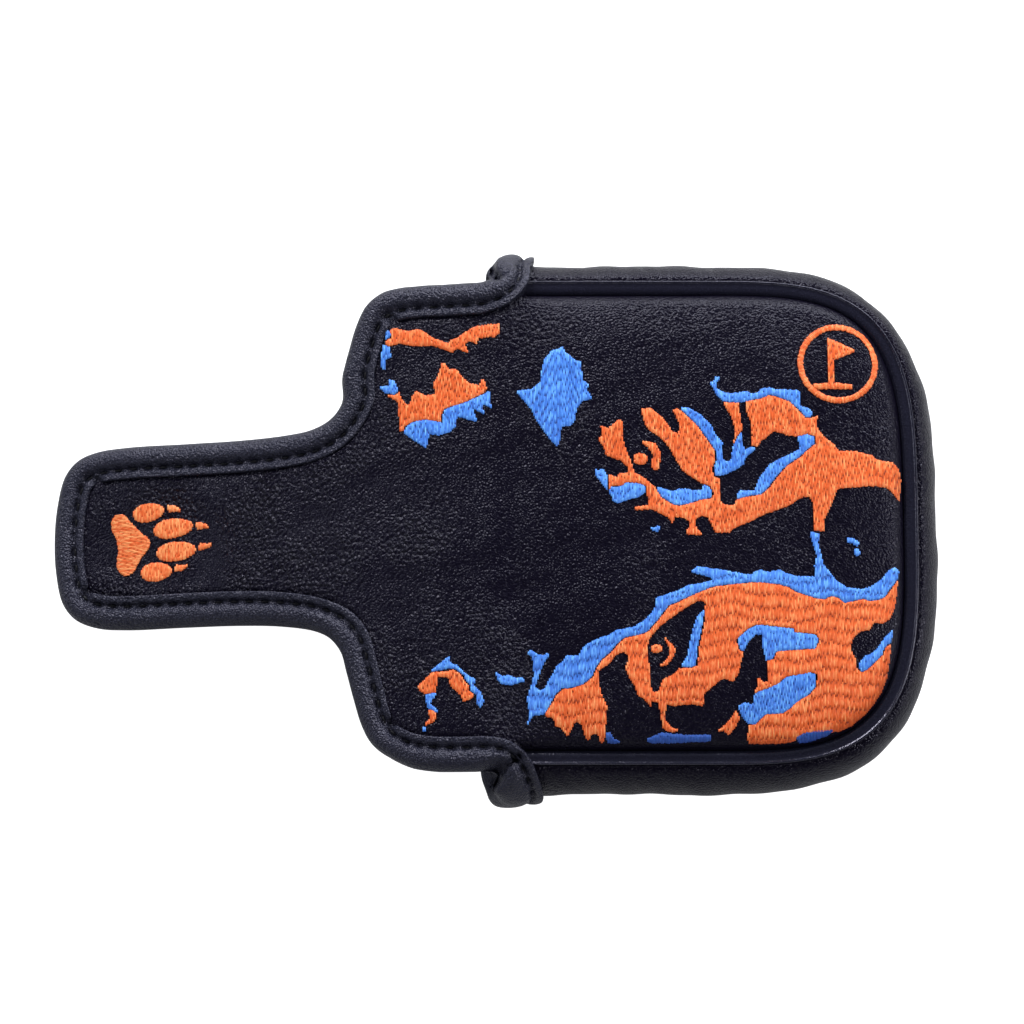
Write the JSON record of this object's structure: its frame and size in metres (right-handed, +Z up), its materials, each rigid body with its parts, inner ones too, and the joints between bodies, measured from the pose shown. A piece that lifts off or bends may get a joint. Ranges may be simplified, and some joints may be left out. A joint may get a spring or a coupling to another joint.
{
  "type": "putter head cover",
  "caption": "Padded mallet putter head cover: pouch with a fold-over flap and closing tongue, piped seams and embroidered big-cat stripes.",
  "frame": {"origin": "middle of the bounding box's lower face, on the surface that the pouch rests on", "axes": "+X towards the closed end of the pouch, -X towards the tip of the tongue, +Z up through the embroidered top panel, Y across the pouch; the cover is symmetric in Y but for its embroidery"},
  "size_m": [0.2311, 0.1438, 0.04],
  "materials": {
    "leather": "pebbled",
    "binding_leather": "satin",
    "foam": "matte",
    "lining": "plush",
    "orange_thread": "satin",
    "blue_thread": "satin",
    "magnet": "plated"
  },
  "bodies": {
    "pouch": {"top_panel": "leather", "top_foam_pad": "foam", "top_lining": "lining", "gusset_panel": "leather", "gusset_foam": "foam", "gusset_lining": "lining", "top_piping": "binding_leather", "bottom_piping": "binding_leather", "mouth_binding": "binding_leather", "bottom_panel": "leather", "bottom_foam_pad": "foam", "bottom_lining": "lining", "base_magnet_left": "magnet", "base_magnet_right": "magnet", "face_brow_orange": "orange_thread", "face_brow_strip": "orange_thread", "face_cheek_orange": "orange_thread", "face_pupil_arc_upper": "orange_thread", "face_pupil_arc_lower": "orange_thread", "emblem_ring": "orange_thread", "emblem_flag": "orange_thread", "face_diagonal_blue": "blue_thread", "face_crest_blue": "blue_thread", "face_under_eye_blue": "blue_thread", "face_bridge_blue": "blue_thread", "face_nose_blue": "blue_thread", "face_cheek_blue": "blue_thread", "face_sweep_blue": "blue_thread", "face_eye_edge_blue": "blue_thread", "face_comma_blue": "blue_thread", "face_lower_bar_blue": "blue_thread", "face_side_blue": "blue_thread"},
    "flap": {"flap_panel": "leather", "flap_foam": "foam", "flap_lining": "lining", "flap_binding_left": "binding_leather", "flap_binding_right": "binding_leather", "flap_stripe_top_orange": "orange_thread", "flap_stripe_orange": "orange_thread", "flap_stripe_blue": "blue_thread", "flap_low_blue": "blue_thread", "flap_low_orange": "orange_thread", "flap_drop_orange": "orange_thread"},
    "tongue": {"tongue_panel": "leather", "tongue_foam": "foam", "tongue_lining": "lining", "tongue_binding": "binding_leather", "tongue_magnet_left": "magnet", "tongue_magnet_right": "magnet", "paw_pad": "orange_thread", "paw_toe_1": "orange_thread", "paw_toe_2": "orange_thread", "paw_toe_3": "orange_thread", "paw_toe_4": "orange_thread", "paw_claw_1": "orange_thread", "paw_claw_2": "orange_thread", "paw_claw_3": "orange_thread", "paw_claw_4": "orange_thread"}
  },
  "joints": [
    {"name": "flap_fold", "type": "hinge", "parent": "pouch", "child": "flap", "pos_m": [0.0006, 0, 0.0335], "axis": [0, -1, 0], "range_deg": [-70, 49]},
    {"name": "tongue_fold", "type": "hinge", "parent": "flap", "child": "tongue", "pos_m": [-0.044, 0, 0.0242], "axis": [0, -1, 0], "range_deg": [-25, 115]}
  ]
}
